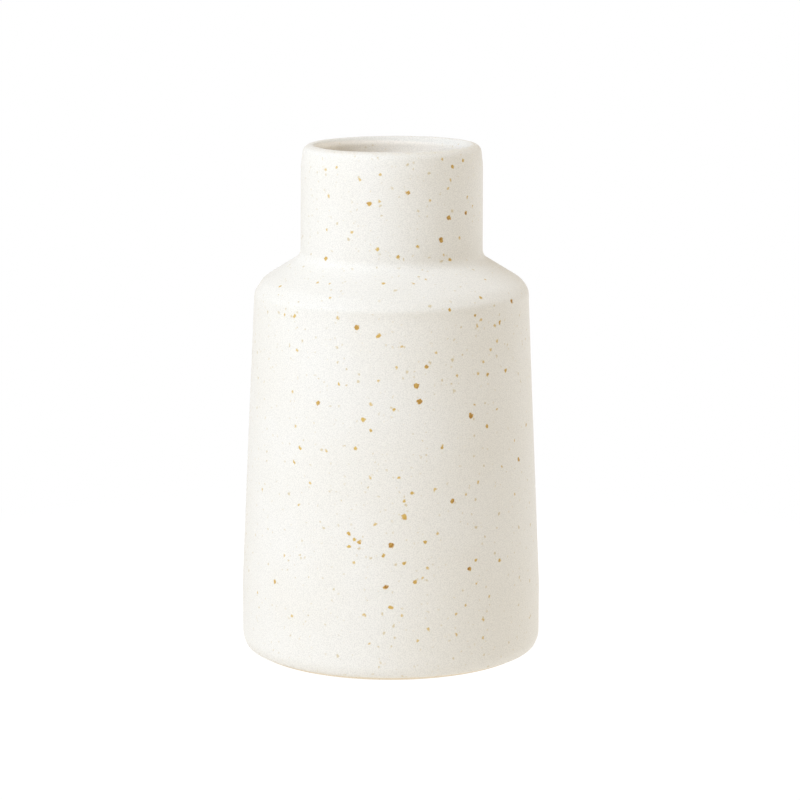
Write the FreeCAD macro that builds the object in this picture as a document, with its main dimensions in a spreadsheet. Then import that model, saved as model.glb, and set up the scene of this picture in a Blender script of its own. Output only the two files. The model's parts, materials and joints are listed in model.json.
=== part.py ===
import FreeCAD, Part
import math
import os
import re
import Sketcher

# A stoneware vase, standing on the XY plane with its axis on Z. All sizes are in millimetres.
#
# It is one fired clay body with three coats of glaze melted onto it:
#   stoneware_body  the clay wall, lip, shoulder and floor, with a bare ring to stand on
#   outer_glaze     the coat outside, carried over the lip and a little way into the mouth
#   liner_glaze     the coat inside, from the floor up to the outer coat
#   base_glaze      the coat in the recess under the floor, inside the standing ring
#
# Every outline below is the surface of the clay, seen in section from the axis outwards. A coat
# is a stretch of that outline thickened outwards by the glaze, then turned about the axis.

# The outside radii and heights are those of the finished, glazed vase.
DIMENSIONS = {
    "height": 200.0,
    "lip_radius": 34.4,
    "lip_rounding": 3.2,
    "flare_width": 1.4,
    "flare_height": 2.3,
    "flare_top_rounding": 1.0,
    "flare_rounding": 1.8,
    "neck_radius": 35.3,
    "neck_top": 192.0,
    "neck_top_rounding": 23.0,
    "neck_root_radius": 35.5,
    "neck_root_height": 156.7,
    "neck_root_rounding": 4.7,
    "shoulder_radius": 53.4,
    "shoulder_height": 145.6,
    "shoulder_rounding": 8.6,
    "belly_radius": 58.85,
    "belly_height": 26.3,
    "belly_rounding": 30.0,
    "foot_rounding": 7.1,
    "wall": 5.7,
    "inner_neck_rounding": 9.0,
    "inner_shoulder_rounding": 5.0,
    "floor_thickness": 6.5,
    "floor_rounding": 9.0,
    "ring_inner_radius": 46.0,
    "ring_edge_rounding": 0.8,
    "recess_radius": 44.0,
    "recess_depth": 2.0,
    "recess_rounding": 1.5,
    "glaze": 0.4,
    "outer_coat_lap": 8.0,
    "bare_foot_height": 1.6,
}

# Corners of the clay outline: radius, height and rounding, as formulas of the dimensions.
# The shoulder slopes, so a wall that stands inside another there also drops by about half
# the distance between them.
FLOOR_CENTRE = ("0", "recess_depth + floor_thickness", None)
HOLLOW = [
    ("belly_radius - glaze - wall", "recess_depth + floor_thickness", "floor_rounding"),
    ("belly_radius - glaze - wall", "belly_height", "belly_rounding - glaze - wall"),
    ("shoulder_radius - glaze - wall", "shoulder_height - (glaze + wall) / 2", "inner_shoulder_rounding"),
    ("neck_root_radius - glaze - wall", "neck_root_height - (glaze + wall) / 2", "inner_neck_rounding"),
]
MOUTH_FLARE = [
    ("neck_root_radius - glaze - wall", "height - glaze - flare_height", "flare_rounding - glaze"),
    ("neck_root_radius - glaze - wall + flare_width", "height - glaze", "flare_top_rounding - glaze"),
]
OUTSIDE = [
    ("lip_radius - glaze", "height - glaze", "lip_rounding - glaze"),
    ("neck_radius - glaze", "neck_top", "neck_top_rounding - glaze"),
    ("neck_root_radius - glaze", "neck_root_height - glaze / 2", "neck_root_rounding + glaze"),
    ("shoulder_radius - glaze", "shoulder_height - glaze / 2", "shoulder_rounding - glaze"),
    ("belly_radius - glaze", "belly_height", "belly_rounding - glaze"),
    ("belly_radius - glaze", "0", "foot_rounding - glaze"),
]
RING_INNER_EDGE = ("ring_inner_radius", "0", "ring_edge_rounding")
RECESS = [
    ("recess_radius", "recess_depth", "recess_rounding"),
    ("0", "recess_depth", None),
]

# Ends of the coats, which lie between corners of the clay.
COAT_MEETING = ("neck_root_radius - glaze - wall", "height - outer_coat_lap", None)
UNDER_FOOT = ("ring_inner_radius + ring_edge_rounding", "0", None)
RECESS_SLOPE_MIDDLE = ("(recess_radius + ring_inner_radius) / 2", "recess_depth / 2", None)

START, END = 1, 2  # a sketch's names for the two ends of a line or arc, and for a point
HORIZONTAL_AXIS, VERTICAL_AXIS = -1, -2  # a sketch's names for its own axes
UPRIGHT = FreeCAD.Rotation(FreeCAD.Vector(1, 0, 0), 90)  # lays a sketch on the XZ plane

document = FreeCAD.newDocument("StonewareVase")


def make_sheet():
    """Spreadsheet of the driving dimensions, one named cell for each."""
    sheet = document.addObject("Spreadsheet::Sheet", "Dimensions")
    for row, (name, size) in enumerate(DIMENSIONS.items(), start=1):
        sheet.set(f"A{row}", name)
        sheet.set(f"B{row}", str(size))
        sheet.setAlias(f"B{row}", name)
    document.recompute()
    return sheet


dimensions = make_sheet()


def bound(formula):
    """The formula with every dimension's name turned into a reference to its cell."""
    return re.sub(r"[a-z_]+", lambda name: f"{dimensions.Name}.{name.group()}", formula)


def size_of(formula):
    return float(dimensions.evalExpression(bound(formula)))


def bind(sketch, kind, elements, formula):
    """Add a dimension to the sketch and bind it to the sheet."""
    index = sketch.addConstraint(Sketcher.Constraint(kind, *elements, size_of(formula)))
    sketch.setExpression(f"Constraints[{index}]", bound(formula))


def pin(sketch, point, corner):
    """Fix a point of the sketch at a corner's radius and height."""
    radius, height, _ = corner
    distances = (("DistanceX", radius, VERTICAL_AXIS), ("DistanceY", height, HORIZONTAL_AXIS))
    for kind, formula, axis in distances:
        if formula == "0":
            sketch.addConstraint(Sketcher.Constraint("PointOnObject", *point, axis))
        else:
            bind(sketch, kind, (HORIZONTAL_AXIS, START, *point), formula)


def rounding_arc(before, corner, after, radius):
    """Arc of this radius that rounds a corner, as its start, middle and end."""
    arriving = (corner - before).normalize()
    leaving = (after - corner).normalize()
    half_turn = arriving.getAngle(leaving) / 2
    setback = radius * math.tan(half_turn)
    inwards = (leaving - arriving).normalize()
    middle = corner + inwards * (radius / math.cos(half_turn) - radius)
    return corner - arriving * setback, middle, corner + leaving * setback


def nearest_end(sketch, element, place):
    """The end of a sketch element that lies at this place, as a sketch point."""
    distances = {end: sketch.getPoint(element, end).distanceToPoint(place) for end in (START, END)}
    return element, min(distances, key=distances.get)


def draw_outline(sketch, corners, closed):
    """Straight runs from corner to corner, with an arc wherever a corner is rounded."""
    places = [FreeCAD.Vector(size_of(radius), size_of(height), 0) for radius, height, _ in corners]
    count = len(corners)
    arcs = {}
    for i, (_, _, rounding) in enumerate(corners):
        if rounding:
            arcs[i] = rounding_arc(places[i - 1], places[i], places[(i + 1) % count], size_of(rounding))

    runs = {}
    for i in range(count if closed else count - 1):
        after = (i + 1) % count
        start = arcs[i][2] if i in arcs else places[i]
        end = arcs[after][0] if after in arcs else places[after]
        runs[i] = sketch.addGeometry(Part.LineSegment(start, end))

    for i, corner in enumerate(corners):
        arriving = runs.get((i - 1) % count)
        leaving = runs.get(i)
        if i in arcs:
            arc = sketch.addGeometry(Part.Arc(*arcs[i]))
            arc_start = nearest_end(sketch, arc, arcs[i][0])
            arc_end = nearest_end(sketch, arc, arcs[i][2])
            sketch.addConstraint(Sketcher.Constraint("Tangent", arriving, END, *arc_start))
            sketch.addConstraint(Sketcher.Constraint("Tangent", leaving, START, *arc_end))
            bind(sketch, "Radius", (arc,), corner[2])
            sharp_corner = sketch.addGeometry(Part.Point(places[i]), True)
            for run in (arriving, leaving):
                sketch.addConstraint(Sketcher.Constraint("PointOnObject", sharp_corner, START, run))
            pin(sketch, (sharp_corner, START), corner)
        elif arriving is None:
            pin(sketch, (leaving, START), corner)
        else:
            if leaving is not None:
                sketch.addConstraint(Sketcher.Constraint("Coincident", arriving, END, leaving, START))
            pin(sketch, (arriving, END), corner)


def origin_plane(body, role):
    return next(plane for plane in body.Origin.OriginFeatures if plane.Role == role)


def make_clay():
    """The clay body: the whole clay outline turned about the axis."""
    body = document.addObject("PartDesign::Body", "stoneware_body")
    sketch = body.newObject("Sketcher::SketchObject", "ClayOutline")
    sketch.AttachmentSupport = [(origin_plane(body, "XZ_Plane"), "")]
    sketch.MapMode = "FlatFace"
    document.recompute()
    corners = [FLOOR_CENTRE, *HOLLOW, *MOUTH_FLARE, *OUTSIDE, RING_INNER_EDGE, *RECESS]
    draw_outline(sketch, corners, closed=True)
    turned = body.newObject("PartDesign::Revolution", "ClayTurned")
    turned.Profile = sketch
    turned.ReferenceAxis = (sketch, ["V_Axis"])
    turned.Angle = 360
    body.Tip = turned
    return body


def make_coat(name, corners):
    """A coat of glaze: a stretch of the clay outline, thickened and turned about the axis."""
    sketch = document.addObject("Sketcher::SketchObject", f"{name}_line")
    sketch.Placement = FreeCAD.Placement(FreeCAD.Vector(), UPRIGHT)
    draw_outline(sketch, corners, closed=False)
    section = document.addObject("Part::Offset2D", f"{name}_section")
    section.Source = sketch
    section.Mode = "Skin"
    section.Join = "Arc"
    section.Fill = True
    section.setExpression("Value", bound("glaze"))
    coat = document.addObject("Part::Revolution", name)
    coat.Source = section
    coat.Base = FreeCAD.Vector(0, 0, 0)
    coat.Axis = FreeCAD.Vector(0, 0, 1)
    coat.Angle = 360
    coat.Solid = True
    return coat


def wipe_foot(name, coat):
    """The coat with its lowest part wiped away, so that the clay foot stands bare."""
    wiped = document.addObject("Part::Cylinder", "WipedFoot")
    wiped.setExpression("Radius", bound("belly_radius + wall"))
    wiped.setExpression("Height", bound("bare_foot_height + glaze"))
    wiped.setExpression("Placement.Base.z", bound("0 - glaze"))
    cut = document.addObject("Part::Cut", name)
    cut.Base = coat
    cut.Tool = wiped
    return cut


def check_and_write(pieces):
    """Stop at anything that failed to build; otherwise write one file for each piece."""
    for item in document.Objects:
        if "Invalid" in item.State or "Error" in item.State:
            raise RuntimeError(f"{item.Name} did not build: {item.State}")
    for piece in pieces:
        if piece.Shape.isNull() or not piece.Shape.isValid() or len(piece.Shape.Solids) != 1:
            raise RuntimeError(f"{piece.Label} is not one valid solid")
    os.makedirs("parts", exist_ok=True)
    for piece in pieces:
        piece.Shape.exportStep(f"parts/{piece.Label}.step")
        box = piece.Shape.optimalBoundingBox(False, False)
        size = f"{box.XLength:.2f} wide, z {box.ZMin:.2f} to {box.ZMax:.2f}"
        print(f"{piece.Label}: {piece.Shape.Volume:.0f} mm3, {size}")


clay = make_clay()
whole_outer_coat = make_coat("outer_coat", [COAT_MEETING, *MOUTH_FLARE, *OUTSIDE, UNDER_FOOT])
outer_glaze = wipe_foot("outer_glaze", whole_outer_coat)
liner_glaze = make_coat("liner_glaze", [FLOOR_CENTRE, *HOLLOW, COAT_MEETING])
base_glaze = make_coat("base_glaze", [RECESS_SLOPE_MIDDLE, *RECESS])
document.recompute()
check_and_write([clay, outer_glaze, liner_glaze, base_glaze])
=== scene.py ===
import json
import math

import bpy
import numpy as np
from mathutils import Euler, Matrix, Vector


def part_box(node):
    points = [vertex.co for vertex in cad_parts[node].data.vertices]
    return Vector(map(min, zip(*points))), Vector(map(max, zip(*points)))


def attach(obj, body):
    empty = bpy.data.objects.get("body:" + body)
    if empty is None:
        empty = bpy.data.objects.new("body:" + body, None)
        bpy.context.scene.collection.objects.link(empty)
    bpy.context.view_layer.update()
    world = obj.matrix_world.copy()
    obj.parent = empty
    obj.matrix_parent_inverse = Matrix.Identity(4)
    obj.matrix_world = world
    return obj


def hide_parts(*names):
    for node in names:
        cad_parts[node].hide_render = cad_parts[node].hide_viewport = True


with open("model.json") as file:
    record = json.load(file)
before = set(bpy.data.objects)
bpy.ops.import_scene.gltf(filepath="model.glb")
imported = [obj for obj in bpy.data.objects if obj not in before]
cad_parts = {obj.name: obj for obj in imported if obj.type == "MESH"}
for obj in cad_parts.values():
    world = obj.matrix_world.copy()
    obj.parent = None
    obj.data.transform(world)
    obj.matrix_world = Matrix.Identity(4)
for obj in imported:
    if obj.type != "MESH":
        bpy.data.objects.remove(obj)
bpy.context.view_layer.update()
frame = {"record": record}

# Speckled stoneware vase. The frame's four nodes are one clay body and three coats of glaze; each
# is replaced here by a fine turned mesh of the same form, with the small unevenness of a hand-made
# pot and with glaze and clay materials. Lengths below are in millimetres until MM turns them.

MM = 0.001
BORE = next(mount for mount in frame["record"]["mounts"] if mount["name"] == "mouth")

# ---------------------------------------------------------------- sizes

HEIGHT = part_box("outer_glaze")[1].z / MM
BELLY_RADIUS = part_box("outer_glaze")[1].x / MM
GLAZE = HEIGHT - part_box("stoneware_body")[1].z / MM
BARE_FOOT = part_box("outer_glaze")[0].z / MM
COAT_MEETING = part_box("liner_glaze")[1].z / MM
BORE_RADIUS = BORE["dims"]["r_mm"]
FLOOR_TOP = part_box("liner_glaze")[0].z / MM
BASE_COAT_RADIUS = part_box("base_glaze")[1].x / MM
RECESS_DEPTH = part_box("base_glaze")[1].z / MM

WALL = 5.7
LIP_RADIUS, LIP_ROUNDING = 34.4, 3.2
FLARE_WIDTH, FLARE_HEIGHT, FLARE_TOP_ROUNDING, FLARE_ROUNDING = 1.4, 2.3, 1.0, 1.8
NECK_RADIUS, NECK_TOP, NECK_TOP_ROUNDING = 35.3, 192.0, 23.0
NECK_ROOT_RADIUS, NECK_ROOT_HEIGHT, NECK_ROOT_ROUNDING = 35.5, 156.7, 4.7
SHOULDER_RADIUS, SHOULDER_HEIGHT, SHOULDER_ROUNDING = 53.4, 145.6, 8.6
BELLY_HEIGHT, BELLY_ROUNDING, FOOT_ROUNDING = 26.3, 30.0, 7.1
INNER_NECK_ROUNDING, INNER_SHOULDER_ROUNDING, FLOOR_ROUNDING = 9.0, 5.0, 9.0
RING_INNER_RADIUS, RING_EDGE_ROUNDING = 46.0, 0.8
RECESS_RADIUS, RECESS_ROUNDING = 44.0, 1.5

# Corners of the clay's outline as (radius, height, rounding), from the middle of the floor up the
# inside, over the lip, down the outside and back under the foot.
HOLLOW = [
    (0.0, FLOOR_TOP, 0.0),
    (BELLY_RADIUS - GLAZE - WALL, FLOOR_TOP, FLOOR_ROUNDING),
    (BELLY_RADIUS - GLAZE - WALL, BELLY_HEIGHT, BELLY_ROUNDING - GLAZE - WALL),
    (SHOULDER_RADIUS - GLAZE - WALL, SHOULDER_HEIGHT - (GLAZE + WALL) / 2, INNER_SHOULDER_ROUNDING),
    (BORE_RADIUS + GLAZE, NECK_ROOT_HEIGHT - (GLAZE + WALL) / 2, INNER_NECK_ROUNDING),
]
COATS_MEET = (BORE_RADIUS + GLAZE, COAT_MEETING, 0.0)
LIP_AND_OUTSIDE = [
    (BORE_RADIUS + GLAZE, HEIGHT - GLAZE - FLARE_HEIGHT, FLARE_ROUNDING - GLAZE),
    (BORE_RADIUS + GLAZE + FLARE_WIDTH, HEIGHT - GLAZE, FLARE_TOP_ROUNDING - GLAZE),
    (LIP_RADIUS - GLAZE, HEIGHT - GLAZE, LIP_ROUNDING - GLAZE),
    (NECK_RADIUS - GLAZE, NECK_TOP, NECK_TOP_ROUNDING - GLAZE),
    (NECK_ROOT_RADIUS - GLAZE, NECK_ROOT_HEIGHT - GLAZE / 2, NECK_ROOT_ROUNDING + GLAZE),
    (SHOULDER_RADIUS - GLAZE, SHOULDER_HEIGHT - GLAZE / 2, SHOULDER_ROUNDING - GLAZE),
    (BELLY_RADIUS - GLAZE, BELLY_HEIGHT, BELLY_ROUNDING - GLAZE),
    (BELLY_RADIUS - GLAZE, 0.0, FOOT_ROUNDING - GLAZE),
]
UNDERSIDE = [
    (RING_INNER_RADIUS, 0.0, RING_EDGE_ROUNDING),
    (RECESS_RADIUS, RECESS_DEPTH, RECESS_ROUNDING),
    (0.0, RECESS_DEPTH, 0.0),
]
BASE_COAT_END = (BASE_COAT_RADIUS, RECESS_DEPTH / 2, 0.0)

SIDES = 320  # columns round every turned mesh
TINY = 1e-6  # a radius or an angle that counts as none


# ---------------------------------------------------------------- turned shapes


class Outline:
    """A line in section: straight runs with rounded corners, read by distance along it."""

    FINE = 0.05  # spacing of the points that stand for the line, mm
    ARC_STEP, ARC_PIECES = 0.1, 8  # longest piece of a rounding, mm, and the fewest pieces in one
    ROW_TURN = math.radians(5)  # rows on a bend turn by about this much each
    LEAST_TURN = 1e-4  # radians per mm, below which a run counts as straight
    EVENED = 20  # points each way over which the spacing of rows is evened out

    def __init__(self, corners, wiped_below=None):
        places = [np.array(corner[:2]) for corner in corners]
        points = [places[0]]
        for i in range(1, len(corners) - 1):
            points.extend(self.rounding(places[i - 1], places[i], places[i + 1], corners[i][2]))
        points.append(places[-1])
        dense = [points[0]]
        for start, end in zip(points, points[1:]):
            count = max(1, math.ceil(np.linalg.norm(end - start) / self.FINE))
            dense.extend(start + (end - start) * k / count for k in range(1, count + 1))
        if wiped_below is not None:
            last = max(i for i, (_, height) in enumerate(dense) if height >= wiped_below)
            dense = dense[:last + 1]
        self.points = np.array(dense)
        steps = np.diff(self.points, axis=0)
        lengths = np.linalg.norm(steps, axis=1)
        self.distance = np.concatenate([[0.0], np.cumsum(lengths)])
        self.length = self.distance[-1]
        self.normals = np.stack([-steps[:, 1], steps[:, 0]], axis=1) / lengths[:, None]
        self.normal_places = (self.distance[1:] + self.distance[:-1]) / 2

    @classmethod
    def rounding(cls, before, corner, after, radius):
        """Points of the arc that rounds one corner."""
        arriving = (corner - before) / np.linalg.norm(corner - before)
        leaving = (after - corner) / np.linalg.norm(after - corner)
        turn = math.acos(np.clip(arriving @ leaving, -1, 1))
        if radius <= 0 or turn < TINY:
            return [corner]
        setback = radius * math.tan(turn / 2)
        inwards = (leaving - arriving) / np.linalg.norm(leaving - arriving)
        centre = corner + inwards * radius / math.cos(turn / 2)
        start = corner - arriving * setback - centre
        side = math.copysign(1, arriving[0] * leaving[1] - arriving[1] * leaving[0])
        count = max(cls.ARC_PIECES, math.ceil(radius * turn / cls.ARC_STEP))
        arc = []
        for k in range(count + 1):
            a = side * turn * k / count
            cos, sin = math.cos(a), math.sin(a)
            spoke = [start[0] * cos - start[1] * sin, start[0] * sin + start[1] * cos]
            arc.append(centre + np.array(spoke))
        return arc

    def at(self, distance):
        """Radius and height at these distances along the line."""
        radius = np.interp(distance, self.distance, self.points[:, 0])
        height = np.interp(distance, self.distance, self.points[:, 1])
        return radius, height

    def normal_at(self, distance):
        """Unit normals, pointing out of the clay, at these distances along the line."""
        nr = np.interp(distance, self.normal_places, self.normals[:, 0])
        nz = np.interp(distance, self.normal_places, self.normals[:, 1])
        size = np.hypot(nr, nz)
        return nr / size, nz / size

    def rows(self, straight, bent):
        """Distances for the rows of a mesh: close together on bends, further apart on straights."""
        nr, nz = self.normal_at(self.distance)
        heading = np.unwrap(np.arctan2(nz, nr))
        turning = np.abs(np.gradient(heading, self.distance))
        on_bend = self.ROW_TURN / np.maximum(turning, self.LEAST_TURN)
        density = 1 / np.minimum(straight, np.maximum(bent, on_bend))
        window = 2 * self.EVENED + 1
        padded = np.pad(density, self.EVENED, mode="edge")
        spread = np.convolve(padded, np.ones(window) / window, mode="valid")
        between = (spread[1:] + spread[:-1]) / 2
        progress = np.concatenate([[0.0], np.cumsum(between * np.diff(self.distance))])
        count = max(2, round(progress[-1]))
        return np.interp(np.linspace(0, progress[-1], count + 1), progress, self.distance)


def smooth_step(value, low, high):
    """0 up to low, 1 from high on, and smooth between."""
    t = np.clip((value - low) / (high - low), 0, 1)
    return t * t * (3 - 2 * t)


WAVE_GAIN = 1.4  # the parts of a wave seldom peak together, so their sum is raised by this


def wave(angle, seed, orders, roughness=0.6):
    """A closed wave round the vase, about -1 to 1. Each seed gives its own wave."""
    chance = np.random.default_rng(seed)
    total = np.zeros_like(angle)
    size = 0.0
    for order in orders:
        weight = roughness ** (order - orders[0])
        total += weight * np.cos(order * angle + chance.uniform(0, 2 * math.pi))
        size += weight
    return total / size * WAVE_GAIN


def closeness(radius, height, place, reach):
    """1 at this place of the section, falling away over this reach."""
    return np.exp(-(((radius - place[0]) ** 2 + (height - place[1]) ** 2) / reach ** 2))


# How far the pot is from a perfect turned form, in millimetres. The front is -y and the left -x.
LEAN = 0.55  # of the rim, towards +x
SHOULDER_DROP, SHOULDER_TILT = 0.2, 0.2  # the shoulder is a little low, most so at the front right
# The middle of the shoulder's bend and its foot, as radius and height, and the way out of the clay there
SHOULDER_BEND, BEND_OUT = (52.4, 145.0), (0.86, 0.51)
SHOULDER_EDGE, EDGE_OUT = (53.3, 143.2), (0.97, 0.24)
BEND_PULL, BEND_REACH = 0.55, 3.0  # at the left the bend is softer, drawn in by this much
EDGE_PUSH, EDGE_REACH = 0.65, 2.2  # at the front its foot is crisper, pushed out by this much
OVAL, OVAL_FULL = 0.09, 0.3  # the oval, and the share of the height above which it is full
LIP_WAVE = 0.14
WALL_WAVE, WALL_TWIST, WALL_SWELLS = 0.05, 2.2, 11.0  # radians from foot to rim: twist, then swells


def handmade(radius, height, angle):
    """Where a point of the perfect form lies on the real pot, in metres."""
    rise = height / HEIGHT
    swell = OVAL * wave(angle, 5, (2, 3)) * smooth_step(rise, 0.0, OVAL_FULL)
    swell = swell + WALL_WAVE * wave(angle + rise * WALL_TWIST, 8, (3, 4, 5)) * np.sin(rise * WALL_SWELLS)
    radius = radius * (1 + swell / BELLY_RADIUS)
    height = height + LIP_WAVE * wave(angle, 11, (1, 2, 3)) * smooth_step(height, NECK_ROOT_HEIGHT, HEIGHT)
    over_barrel = smooth_step(height, BELLY_HEIGHT, SHOULDER_HEIGHT)
    below_neck = 1 - smooth_step(height, NECK_ROOT_HEIGHT, HEIGHT)
    front = ((1 - np.sin(angle)) / 2) ** 2
    left = ((1 - np.cos(angle)) / 2) ** 2
    front_right = np.cos(angle + math.pi / 4)
    push = EDGE_PUSH * front * closeness(radius, height, SHOULDER_EDGE, EDGE_REACH)
    pull = BEND_PULL * left * closeness(radius, height, SHOULDER_BEND, BEND_REACH)
    radius = radius + EDGE_OUT[0] * push - BEND_OUT[0] * pull
    height = height + EDGE_OUT[1] * push - BEND_OUT[1] * pull
    height = height - (SHOULDER_DROP + SHOULDER_TILT * front_right) * over_barrel * below_neck
    x = radius * np.cos(angle) + LEAN * rise ** 2
    y = radius * np.sin(angle)
    return np.stack([x, y, height], axis=-1) * MM


SOFT_ANGLE = math.radians(50)  # an edge that turns by more than this stays sharp


def make_mesh(name, vertices, faces, material):
    mesh = bpy.data.meshes.new(name)
    mesh.from_pydata([tuple(v) for v in vertices], [], faces)
    mesh.validate()
    mesh.update()
    mesh.materials.append(material)
    mesh.set_sharp_from_angle(angle=SOFT_ANGLE)
    piece = bpy.data.objects.new(name, mesh)
    bpy.context.collection.objects.link(piece)
    return piece


def turned(name, section, material):
    """A closed turned piece from a section of radii and heights, each a grid with a row per ring.

    The rows go once round the section. A row on the axis becomes a single vertex.
    """
    angle = np.linspace(0, 2 * math.pi, SIDES, endpoint=False)
    radius, height = section
    vertices, faces, rings = [], [], []
    for r, z in zip(radius, height):
        if np.max(r) < TINY:
            spot = handmade(np.zeros(1), z[:1], np.zeros(1))[0]
            rings.append([len(vertices)])
            vertices.append(spot)
        else:
            rings.append(list(range(len(vertices), len(vertices) + SIDES)))
            vertices.extend(handmade(r, z, angle))
    for ring, following in zip(rings, rings[1:] + rings[:1]):
        if len(ring) == 1 and len(following) == 1:
            continue
        for side in range(SIDES):
            after = (side + 1) % SIDES
            if len(ring) == 1:
                faces.append((ring[0], following[side], following[after]))
            elif len(following) == 1:
                faces.append((ring[side], following[0], ring[after]))
            else:
                faces.append((ring[side], following[side], following[after], ring[after]))
    return make_mesh(name, vertices, faces, material)


def whole_rows(outline, distances):
    """Rows of a surface that is the same all the way round."""
    radius, height = outline.at(distances)
    return np.repeat(radius[:, None], SIDES, axis=1), np.repeat(height[:, None], SIDES, axis=1)


END_REACH = 6.0  # how far from its end, in mm, the drawing back of a coat is felt
END_ORDERS = (2, 3, 5, 8, 13, 21)
HIDDEN_ROWS = 4  # the side of a coat that lies on the clay needs only each fourth row


def coat(name, outline, material, thickness, end_wander=0.0):
    """A coat of glaze on a stretch of the clay. Its far end draws back unevenly by end_wander."""
    angle = np.linspace(0, 2 * math.pi, SIDES, endpoint=False)
    distances = outline.rows(straight=1.5, bent=0.3)
    drawn_back = end_wander * (1 + wave(angle, 23, END_ORDERS, roughness=0.93)) / 2
    near_end = smooth_step(distances, outline.length - END_REACH, outline.length)
    spread = distances[:, None] - near_end[:, None] * drawn_back[None, :]
    radius, height = outline.at(spread)
    nr, nz = outline.normal_at(spread)
    depth = thickness(distances, outline.length - distances)[:, None]
    keep = sorted({0, len(distances) - 1, *range(0, len(distances), HIDDEN_ROWS)}, reverse=True)
    radius = np.concatenate([radius + nr * depth, radius[keep]])
    height = np.concatenate([height + nz * depth, height[keep]])
    return turned(name, (np.maximum(radius, 0), height), material)


ROLL_WIDTH, EDGE_WIDTH = 0.65, 0.32  # of the roll and of the thin edge, as shares of the reach
EDGE_LOSS = 0.75  # share of the thickness that is gone at the very edge


def rolled_edge(from_edge, roll, reach=1.4):
    """How much thicker the glaze is where it gathers beside its edge, and its share left at the edge."""
    gathered = roll * np.exp(-(((from_edge - reach) / (ROLL_WIDTH * reach)) ** 2))
    share = 1 - EDGE_LOSS * np.exp(-((from_edge / (EDGE_WIDTH * reach)) ** 2))
    return gathered, share


def outer_depth(from_mouth, from_foot):
    """The outer coat laps over the liner in a slight step and gathers where it was wiped off."""
    lap, _ = rolled_edge(from_mouth, roll=0.1, reach=0.8)
    roll, share = rolled_edge(from_foot, roll=0.16)
    return (GLAZE + lap + roll) * share


def liner_depth(from_floor_centre, from_mouth):
    """The liner is even from the middle of the floor to the mouth."""
    return np.full_like(from_mouth, GLAZE)


def recess_depth(from_edge, from_centre):
    """The recess coat gathers at its edge, short of the ring."""
    roll, share = rolled_edge(from_edge, roll=0.12)
    return (GLAZE + roll) * share


# ---------------------------------------------------------------- materials


class Nodes:
    """Short names for building a material's nodes."""

    def __init__(self, name):
        self.material = bpy.data.materials.new(name)
        self.material.use_nodes = True
        self.tree = self.material.node_tree
        self.shader = self.tree.nodes["Principled BSDF"]
        place = self.tree.nodes.new("ShaderNodeTexCoord").outputs["Object"]
        self.place = self.vector("SCALE", place, scale=1 / MM)

    def feed(self, socket, value):
        if isinstance(value, bpy.types.NodeSocket):
            self.tree.links.new(value, socket)
        else:
            socket.default_value = value

    def node(self, kind, **values):
        node = self.tree.nodes.new(kind)
        for key, value in values.items():
            setattr(node, key, value)
        return node

    def math(self, operation, a, b=None):
        node = self.node("ShaderNodeMath", operation=operation)
        self.feed(node.inputs[0], a)
        if b is not None:
            self.feed(node.inputs[1], b)
        return node.outputs[0]

    def vector(self, operation, a, b=None, scale=None):
        node = self.node("ShaderNodeVectorMath", operation=operation)
        self.feed(node.inputs[0], a)
        if b is not None:
            self.feed(node.inputs[1], b)
        if scale is not None:
            self.feed(node.inputs["Scale"], scale)
        return node.outputs["Value"] if operation in ("DISTANCE", "LENGTH") else node.outputs["Vector"]

    def span(self, value, low, high, to_low=0.0, to_high=1.0, smooth=True):
        node = self.node("ShaderNodeMapRange", interpolation_type="SMOOTHSTEP" if smooth else "LINEAR")
        for socket, number in zip(node.inputs, (value, low, high, to_low, to_high)):
            self.feed(socket, number)
        return node.outputs["Result"]

    def noise(self, size, detail=2.0, roughness=0.5, colour=False):
        """Noise whose features are about this many millimetres across."""
        node = self.node("ShaderNodeTexNoise")
        self.feed(node.inputs["Vector"], self.place)
        node.inputs["Scale"].default_value = 1 / size
        node.inputs["Detail"].default_value = detail
        node.inputs["Roughness"].default_value = roughness
        return node.outputs["Color" if colour else "Fac"]

    def cells(self, pitch, place):
        """Cells of this pitch in millimetres: distance to the seed, chance values, and the seed."""
        node = self.node("ShaderNodeTexVoronoi")
        self.feed(node.inputs["Vector"], place)
        node.inputs["Scale"].default_value = 1 / pitch
        distance = self.math("MULTIPLY", node.outputs["Distance"], pitch)
        return distance, node.outputs["Color"], node.outputs["Position"]

    def mix(self, factor, a, b, blend="MIX"):
        node = self.node("ShaderNodeMix", data_type="RGBA", blend_type=blend)
        self.feed(node.inputs["Factor"], factor)
        self.feed(node.inputs[6], a)
        self.feed(node.inputs[7], b)
        return node.outputs[2]

    def channel(self, colour, index):
        node = self.node("ShaderNodeSeparateColor")
        self.feed(node.inputs[0], colour)
        return node.outputs[index]

    def axis(self, vector, index):
        node = self.node("ShaderNodeSeparateXYZ")
        self.feed(node.inputs[0], vector)
        return node.outputs[index]

    def bump(self, height, depth, normal=None):
        """Bump from a height of 0 to 1 that stands for this many millimetres."""
        node = self.node("ShaderNodeBump")
        node.inputs["Strength"].default_value = 1.0
        self.feed(node.inputs["Distance"], depth * MM)
        self.feed(node.inputs["Height"], height)
        if normal is not None:
            self.feed(node.inputs["Normal"], normal)
        return node.outputs["Normal"]


def rgb(red, green, blue):
    """A linear colour from the usual 0 to 255 values."""
    parts = [value / 255 for value in (red, green, blue)]
    return (*[p / 12.92 if p <= 0.04045 else ((p + 0.055) / 1.055) ** 2.4 for p in parts], 1.0)


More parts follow.
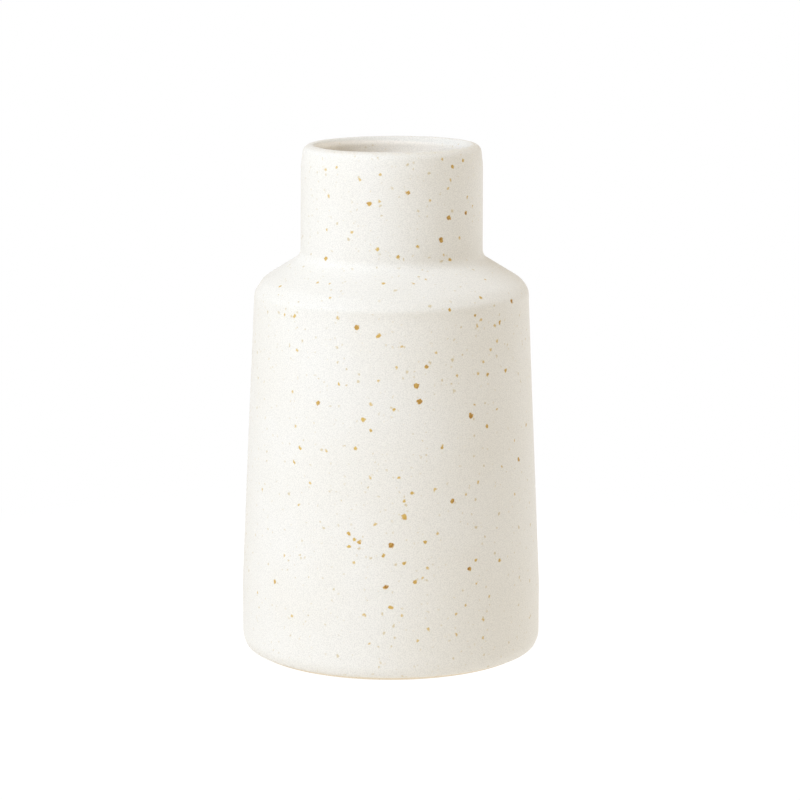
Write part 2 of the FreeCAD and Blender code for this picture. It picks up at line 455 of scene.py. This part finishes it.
CREAM = rgb(233, 229, 220)
CREAM_WARM = rgb(230, 224, 211)
# The liner's cream is lighter than the outer cream: painted light that brightens the inside of the mouth.
LINER_CREAM_PAINTED_LIGHT = rgb(246, 239, 227)
THIN_CREAM = rgb(216, 198, 168)  # where the clay shows through thin glaze
OLIVE = rgb(203, 182, 128)  # the smallest specks
GOLD = rgb(212, 180, 100)  # middling ones
OCHRE = rgb(212, 176, 96)  # the largest
TAN = rgb(162, 114, 46)  # the iron at the heart of a speck
BUFF = rgb(234, 222, 200)  # bare clay
BUFF_DARK = rgb(219, 202, 174)
SHEEN = 0.25  # of an ordinary gloss, since the glaze is matt

# Sizes of features in the glaze and the clay, in millimetres.
GRAIN, PORES, DIMPLES, CLOUDS, MOTTLING = 0.38, 0.5, 7.0, 40.0, 0.9
SAND, STAINS = 0.5, 14.0
BUMP_DEPTH = 0.12
THIN_PATCHES = 2.5  # along the lip and the foot, where the glaze is thin
LIP_THIN, FOOT_THIN = 1.5, 2.0  # heights of the bands where it is thin
LIP_CREST = (31.0, 33.0)  # radii over which the band along the lip comes in
RAGGEDNESS = 1.7
RAGGED_GLAZE, RAGGED_CLAY = 2.2, 0.9  # how far that noise shifts a place
SPECK_TONE = 9.0  # specks this near to one another are about as dark
SPECK_SHADE_RIGHT = (-40.0, 40.0, -0.2, 0.15)  # from and to this x, specks are darkened by this much: painted shade on the right, shaded side

# Scattered specks: pitch of their cells, narrowest and widest speck, and shift of the cells.
DUST = (2.6, 0.1, 0.85, (6.7, 9.1, 4.4))
PEPPER = (4.4, 0.3, 1.25, (11.3, 2.9, 5.3))
BEHIND = (8.0, 0.9, 2.4, (5.1, 2.7, 6.9))
ELSEWHERE = (8.0, 0.9, 2.0, (3.1, 7.7, 1.9))
CLAY_GRAINS = (1.7, 0.1, 0.8, (2.2, 8.8, 6.1))
# The outside's large specks are placed on the front and sides and scattered behind: from this y on
# and below this height.
BACK_FROM, BACK_BELOW = 2.0, 190.0

# The specks that stand out on the front and sides: width in millimetres, then the azimuth in
# degrees from the front, with right positive, and the height of each speck of that width.
LARGE_SPECKS = {
    2.1: ((-14, 137), (10, 115), (11, 109), (33, 102), (24, 70), (5, 65), (0, 54), (32, 167)),
    1.7: (
        (-5, 134), (-30, 107), (41, 97), (61, 81), (-16, 58), (-12, 55), (9, 40), (31, 43), (-50, 35),
        (59, 143), (14, 122), (-14, 181), (10, 185), (38, 175), (53, 176), (0, 30), (-2, 38),
    ),
}
MEDIUM_SPECKS = {
    1.35: (
        (20, 91), (-3, 50), (34, 46), (46, 44), (5, 47), (4, 161), (-9, 164), (16, 165), (39, 159),
        (41, 194), (51, 196), (41, 146), (24, 143), (36, 140), (50, 136), (42, 117), (53, 117),
        (1, 106), (-8, 98), (-14, 91), (-38, 89), (-14, 56), (-16, 53), (13, 55), (5, 71), (8, 74),
        (3, 80), (-21, 115), (-4, 152), (-43, 139), (-49, 139), (70, 93), (-11, 102), (-41, 83),
        (-45, 159), (-60, 148),
    ),
}
FAINT_SPECKS = {
    1.15: (
        (33, 197), (39, 189), (37, 186), (-8, 182), (-7, 192), (-37, 194), (-46, 193), (-20, 190),
        (-43, 183), (24, 182), (61, 178), (55, 182), (47, 167), (34, 161), (-25, 170), (-44, 170),
        (18, 153), (11, 152), (54, 151), (-32, 151), (-39, 151), (-27, 147), (-22, 140), (37, 136),
        (39, 138), (47, 135), (48, 129), (44, 126), (4, 130), (18, 127), (2, 122), (40, 122),
        (37, 118), (27, 118), (-43, 110), (-41, 126), (-5, 117), (47, 103), (35, 106), (-8, 108),
        (-41, 97), (-26, 89), (58, 89), (-33, 76), (-61, 69), (-38, 67), (-8, 80), (36, 76),
        (17, 75), (49, 80), (30, 72), (57, 68), (18, 58), (-14, 47), (-45, 46), (14, 45), (12, 41),
        (34, 37), (40, 31), (25, 26), (29, 29), (4, 27), (-8, 16), (10, 17), (37, 15), (37, 22),
        (-40, 23), (-62, 28), (-10, 27), (14, 21), (25, 18), (-6, 62),
    ),
}


def on_outside(azimuth, height):
    """The point of the glaze at this azimuth from the front and this height, in millimetres."""
    crest = np.argmax(outer_line.points[:, 1])
    radii, heights = outer_line.points[crest:].T
    radius = np.interp(-height, -heights, radii) + GLAZE
    angle = np.array(math.radians(azimuth - 90))
    return handmade(radius, float(height), angle) / MM


def ragged(n, place, reach):
    """The place shifted a little by noise, so that round things drawn with it come out uneven."""
    unevenness = n.noise(RAGGEDNESS, detail=3.0, roughness=0.65, colour=True)
    drift = n.vector("SUBTRACT", unevenness, (0.5, 0.5, 0.5))
    return n.vector("ADD", place, n.vector("SCALE", drift, scale=reach))


def placed_specks(n, place, specks, softness):
    """1 inside the specks of this list, fading out over the softness at their edges."""
    inside = None
    for width, spots in specks.items():
        nearest = None
        for spot in spots:
            distance = n.vector("DISTANCE", place, on_outside(*spot))
            nearest = distance if nearest is None else n.math("MINIMUM", nearest, distance)
        depth = n.span(nearest, width / 2 + softness / 2, width / 2 - softness / 2)
        inside = depth if inside is None else n.math("MAXIMUM", inside, depth)
    return inside


def scattered_specks(n, place, pitch, narrow, wide, shift, softness, behind=False):
    """1 inside specks scattered one to a cell, each its own width, and a chance value for each.

    Only those at the back and below the lip are kept if behind is true.
    """
    distance, chance, seed = n.cells(pitch, n.vector("ADD", place, shift))
    radius = n.span(n.channel(chance, 0), 0.0, 1.0, narrow / 2, wide / 2, smooth=False)
    inside = n.span(n.math("SUBTRACT", radius, distance), -softness / 2, softness / 2)
    if behind:
        at_back = n.math("GREATER_THAN", n.axis(seed, 1), BACK_FROM + shift[1])
        below_lip = n.math("LESS_THAN", n.axis(seed, 2), BACK_BELOW + shift[2])
        inside = n.math("MULTIPLY", inside, at_back)
        inside = n.math("MULTIPLY", inside, below_lip)
    return inside, n.channel(chance, 1)


def edge_tints_and_mouth_light(n, ground):
    """The outer coat is lighter in the mouth, over the liner, with painted light, and thin along the lip and
    the foot.
    """
    height = n.axis(n.place, 2)
    across = n.vector("LENGTH", n.vector("MULTIPLY", n.place, (1, 1, 0)))
    # Painted light: where the outer coat runs into the mouth it turns to the liner's lighter cream.
    ground = n.mix(n.span(across, BORE_RADIUS + 0.9, BORE_RADIUS + 0.2), ground, LINER_CREAM_PAINTED_LIGHT)
    lip = n.math("MULTIPLY", n.span(height, HEIGHT - LIP_THIN, HEIGHT, 0.0, 0.5), n.span(across, *LIP_CREST))
    thin = n.math("MAXIMUM", lip, n.span(height, BARE_FOOT + FOOT_THIN, BARE_FOOT, 0.0, 0.5))
    thin = n.math("MULTIPLY", thin, n.span(n.noise(THIN_PATCHES, detail=3.0), 0.35, 0.65, 0.1, 0.5))
    return n.mix(thin, ground, THIN_CREAM)


def speck_layers(n, place, placed):
    """Each layer of specks, the later ones over the earlier.

    A layer is where its specks are, the chance value that makes them differ (for the placed specks with
    painted shade to the right), the most they cover the cream, their colour, and how far the iron darkens
    them towards their middles.
    """
    layers = [
        (*scattered_specks(n, place, *DUST, softness=0.5), 0.4, OLIVE, 0.0),
        (*scattered_specks(n, place, *PEPPER, softness=0.5), 0.65, OLIVE, 0.15),
    ]
    if not placed:
        layers.append((*scattered_specks(n, place, *ELSEWHERE, softness=0.45), 0.95, OCHRE, 0.9))
        return layers
    # Painted shade: the placed specks grow darker towards the right, the shaded side.
    speck_shade_right = n.span(n.axis(n.place, 0), *SPECK_SHADE_RIGHT)
    chance = n.math("ADD", n.noise(SPECK_TONE, detail=1.0), speck_shade_right)
    behind = scattered_specks(n, place, *BEHIND, softness=0.45, behind=True)
    layers.append((*behind, 1.0, OCHRE, 0.9))
    layers.append((placed_specks(n, place, FAINT_SPECKS, 0.5), chance, 0.85, GOLD, 0.2))
    layers.append((placed_specks(n, place, MEDIUM_SPECKS, 0.45), chance, 1.0, GOLD, 0.5))
    layers.append((placed_specks(n, place, LARGE_SPECKS, 0.45), chance, 1.0, OCHRE, 0.9))
    return layers


def glaze(name, cream, roughness, placed=False):
    """Matt cream glaze, through which the iron in the clay has come up in specks.

    The outer coat has its specks placed and its edges tinted; the other coats are plainer.
    """
    n = Nodes(name)
    place = ragged(n, n.place, RAGGED_GLAZE)
    grain = n.noise(GRAIN, detail=1.0, roughness=0.5)
    ground = n.mix(n.span(n.noise(CLOUDS, detail=2.0), 0.35, 0.65, 0.0, 0.35), cream, CREAM_WARM)
    if placed:
        ground = edge_tints_and_mouth_light(n, ground)
    colour = n.mix(1.0, ground, n.span(grain, 0.3, 0.65, 0.9, 1.03), blend="MULTIPLY")

    specks = None
    mottle = n.span(n.noise(MOTTLING, detail=1.0), 0.35, 0.6, 0.35, 1.0)
    for inside, chance, cover, tint, iron in speck_layers(n, place, placed):
        depth = n.span(chance, 0.3, 0.7, iron * 0.2, iron * 1.1)
        core = n.math("MULTIPLY", n.math("MULTIPLY", n.span(inside, 0.4, 1.0), depth), mottle)
        amount = n.math("MULTIPLY", inside, cover)
        colour = n.mix(amount, colour, n.mix(core, tint, TAN))
        specks = amount if specks is None else n.math("MAXIMUM", specks, amount)

    n.shader.inputs["Specular IOR Level"].default_value = SHEEN
    n.feed(n.shader.inputs["Base Color"], colour)
    rough = n.span(grain, 0.3, 0.7, roughness - 0.04, roughness + 0.06)
    n.feed(n.shader.inputs["Roughness"], n.math("SUBTRACT", rough, n.math("MULTIPLY", specks, 0.08)))
    skin = n.bump(n.noise(PORES, detail=2.0, roughness=0.6), BUMP_DEPTH)
    n.feed(n.shader.inputs["Normal"], n.bump(n.noise(DIMPLES, detail=1.0), BUMP_DEPTH, skin))
    return n.material


def bare_clay():
    """Buff stoneware, wiped clean of glaze: sandy, with dark iron grains."""
    n = Nodes("bare_stoneware")
    place = ragged(n, n.place, RAGGED_CLAY)
    sand = n.noise(SAND, detail=4.0, roughness=0.75)
    colour = n.mix(n.span(sand, 0.35, 0.65), BUFF, BUFF_DARK)
    colour = n.mix(n.span(n.noise(STAINS, detail=3.0), 0.4, 0.7, 0.0, 0.5), colour, BUFF_DARK)
    grains, _ = scattered_specks(n, place, *CLAY_GRAINS, softness=0.2)
    n.feed(n.shader.inputs["Base Color"], n.mix(n.math("MULTIPLY", grains, 0.75), colour, TAN))
    n.feed(n.shader.inputs["Roughness"], n.span(sand, 0.3, 0.7, 0.8, 0.95))
    n.feed(n.shader.inputs["Normal"], n.bump(sand, BUMP_DEPTH))
    return n.material


# ---------------------------------------------------------------- pieces

clay_line = Outline(HOLLOW + LIP_AND_OUTSIDE + UNDERSIDE)
outer_line = Outline([COATS_MEET, *LIP_AND_OUTSIDE, (RING_INNER_RADIUS, 0.0, 0.0)], wiped_below=BARE_FOOT)
liner_line = Outline([*HOLLOW, COATS_MEET])
recess_line = Outline([BASE_COAT_END, UNDERSIDE[1], UNDERSIDE[2]])

clay_rows = clay_line.rows(straight=3.0, bent=0.35)
clay = turned("stoneware_clay", whole_rows(clay_line, clay_rows), bare_clay())
speckled = glaze("speckled_glaze", CREAM, 0.75, placed=True)
outer = coat("speckled_outer_coat", outer_line, speckled, outer_depth, end_wander=0.5)
liner = coat("poured_liner_coat", liner_line, glaze("liner_glaze", LINER_CREAM_PAINTED_LIGHT, 0.6), liner_depth)
base = coat("recess_coat", recess_line, glaze("recess_glaze", CREAM, 0.7), recess_depth)

for piece, node, slot in (
    (clay, "stoneware_body", "bare_stoneware"),
    (outer, "outer_glaze", "speckled_glaze"),
    (liner, "liner_glaze", "liner_glaze"),
    (base, "base_glaze", "speckled_glaze"),
):
    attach(piece, "root")
    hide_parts(node)

# ---------------------------------------------------------------- stage, light and camera

WHITE = 1.0
FLOOR_REACH = 6.0  # half the floor's side, metres
FLOOR_PAINT = (0.9, 0.9, 0.9, 1)
FLOOR_SHADED = (0.09, 0.30)  # radii in metres between which the floor turns from half lit to white
FLOOR_GLOW = 0.85  # share of the light near the vase that the floor gives off itself
FLOOR_POOL = 1.13  # how much brighter than white that light is
SKY = (0.493, 0.427, 0.324)
HORIZON_BAND = (0.09, 0.2)  # z of the directions between which the white horizon turns to the sky
HORIZON_FRONT = (-0.1, -0.5)  # the same by y, towards the camera

CAMERA_SENSOR, CAMERA_LENS = 36, 137.1  # mm
CAMERA_PLACE = (0, -1.1783, 0.3223)
CAMERA_DOWN, CAMERA_TURN = 10.73, -0.176  # degrees
CAMERA_SIGHT = 50  # metres

# Soft boxes aimed at the vase: azimuth from the camera's side, with left negative; elevation;
# distance and size in metres; colour of the light times its power in watts.
LIGHTS = (
    ("key", -45, 45, 1.6, 1.2, (17.9, 20.7, 25.4)),
    ("rim", 125, 20, 1.6, 1.2, (7.8, 8.5, 9.8)),
)


def add_floor():
    """White floor: a soft shadow and a little extra light round the vase, plain white further off."""
    mesh = bpy.data.meshes.new("floor")
    corners = [(x * FLOOR_REACH, y * FLOOR_REACH, 0) for x, y in ((-1, -1), (1, -1), (1, 1), (-1, 1))]
    mesh.from_pydata(corners, [], [(0, 1, 2, 3)])
    n = Nodes("floor")
    n.shader.inputs["Base Color"].default_value = FLOOR_PAINT
    n.shader.inputs["Roughness"].default_value = 1.0
    n.shader.inputs["Specular IOR Level"].default_value = 0.0
    glow = n.node("ShaderNodeEmission")
    near, far = FLOOR_SHADED[0] / MM, FLOOR_SHADED[1] / MM
    out_from_vase = n.vector("LENGTH", n.place)
    n.feed(glow.inputs["Strength"], n.span(out_from_vase, near, far, FLOOR_POOL * WHITE, WHITE))
    blend = n.node("ShaderNodeMixShader")
    n.feed(blend.inputs[0], n.span(out_from_vase, near, far, FLOOR_GLOW, 1.0))
    n.feed(blend.inputs[1], n.shader.outputs[0])
    n.feed(blend.inputs[2], glow.outputs[0])
    n.feed(n.tree.nodes["Material Output"].inputs["Surface"], blend.outputs[0])
    mesh.materials.append(n.material)
    floor = bpy.data.objects.new("floor", mesh)
    bpy.context.collection.objects.link(floor)


def add_world():
    """White round the horizon, dimmer above, where the soft boxes take over, and towards the front."""
    world = bpy.data.worlds.new("studio")
    bpy.context.scene.world = world
    world.use_nodes = True
    tree = world.node_tree
    direction = tree.nodes.new("ShaderNodeTexCoord").outputs["Generated"]
    axes = tree.nodes.new("ShaderNodeSeparateXYZ")
    tree.links.new(direction, axes.inputs[0])
    dim = tree.nodes.new("ShaderNodeMath")
    dim.operation = "MAXIMUM"
    for slot, (axis, limits) in enumerate((("Z", HORIZON_BAND), ("Y", HORIZON_FRONT))):
        fade = tree.nodes.new("ShaderNodeMapRange")
        fade.interpolation_type = "SMOOTHSTEP"
        tree.links.new(axes.outputs[axis], fade.inputs["Value"])
        fade.inputs["From Min"].default_value, fade.inputs["From Max"].default_value = limits
        tree.links.new(fade.outputs["Result"], dim.inputs[slot])
    mix = tree.nodes.new("ShaderNodeMix")
    mix.data_type = "RGBA"
    tree.links.new(dim.outputs[0], mix.inputs["Factor"])
    mix.inputs[6].default_value = (WHITE, WHITE, WHITE, 1)
    mix.inputs[7].default_value = (*SKY, 1)
    tree.links.new(mix.outputs[2], tree.nodes["Background"].inputs["Color"])


def add_light(name, azimuth, elevation, distance, size, power):
    data = bpy.data.lights.new(name, "AREA")
    data.shape = "DISK"
    data.size = size
    data.energy = max(power)
    data.color = [part / max(power) for part in power]
    light = bpy.data.objects.new(name, data)
    bpy.context.collection.objects.link(light)
    a, e = math.radians(azimuth), math.radians(elevation)
    away = Vector((math.sin(a) * math.cos(e), -math.cos(a) * math.cos(e), math.sin(e)))
    light.location = Vector((0, 0, HEIGHT * MM / 2)) + away * distance
    light.rotation_euler = (-away).to_track_quat("-Z", "Y").to_euler()


def add_camera():
    camera = bpy.data.objects.new("camera", bpy.data.cameras.new("camera"))
    bpy.context.collection.objects.link(camera)
    bpy.context.scene.camera = camera
    camera.data.sensor_width = CAMERA_SENSOR
    camera.data.lens = CAMERA_LENS
    camera.location = CAMERA_PLACE
    camera.rotation_euler = Euler((math.radians(90 - CAMERA_DOWN), 0, math.radians(CAMERA_TURN)))
    camera.data.clip_end = CAMERA_SIGHT


add_floor()
add_world()
for light in LIGHTS:
    add_light(*light)
add_camera()
bpy.context.scene.view_settings.view_transform = "Standard"
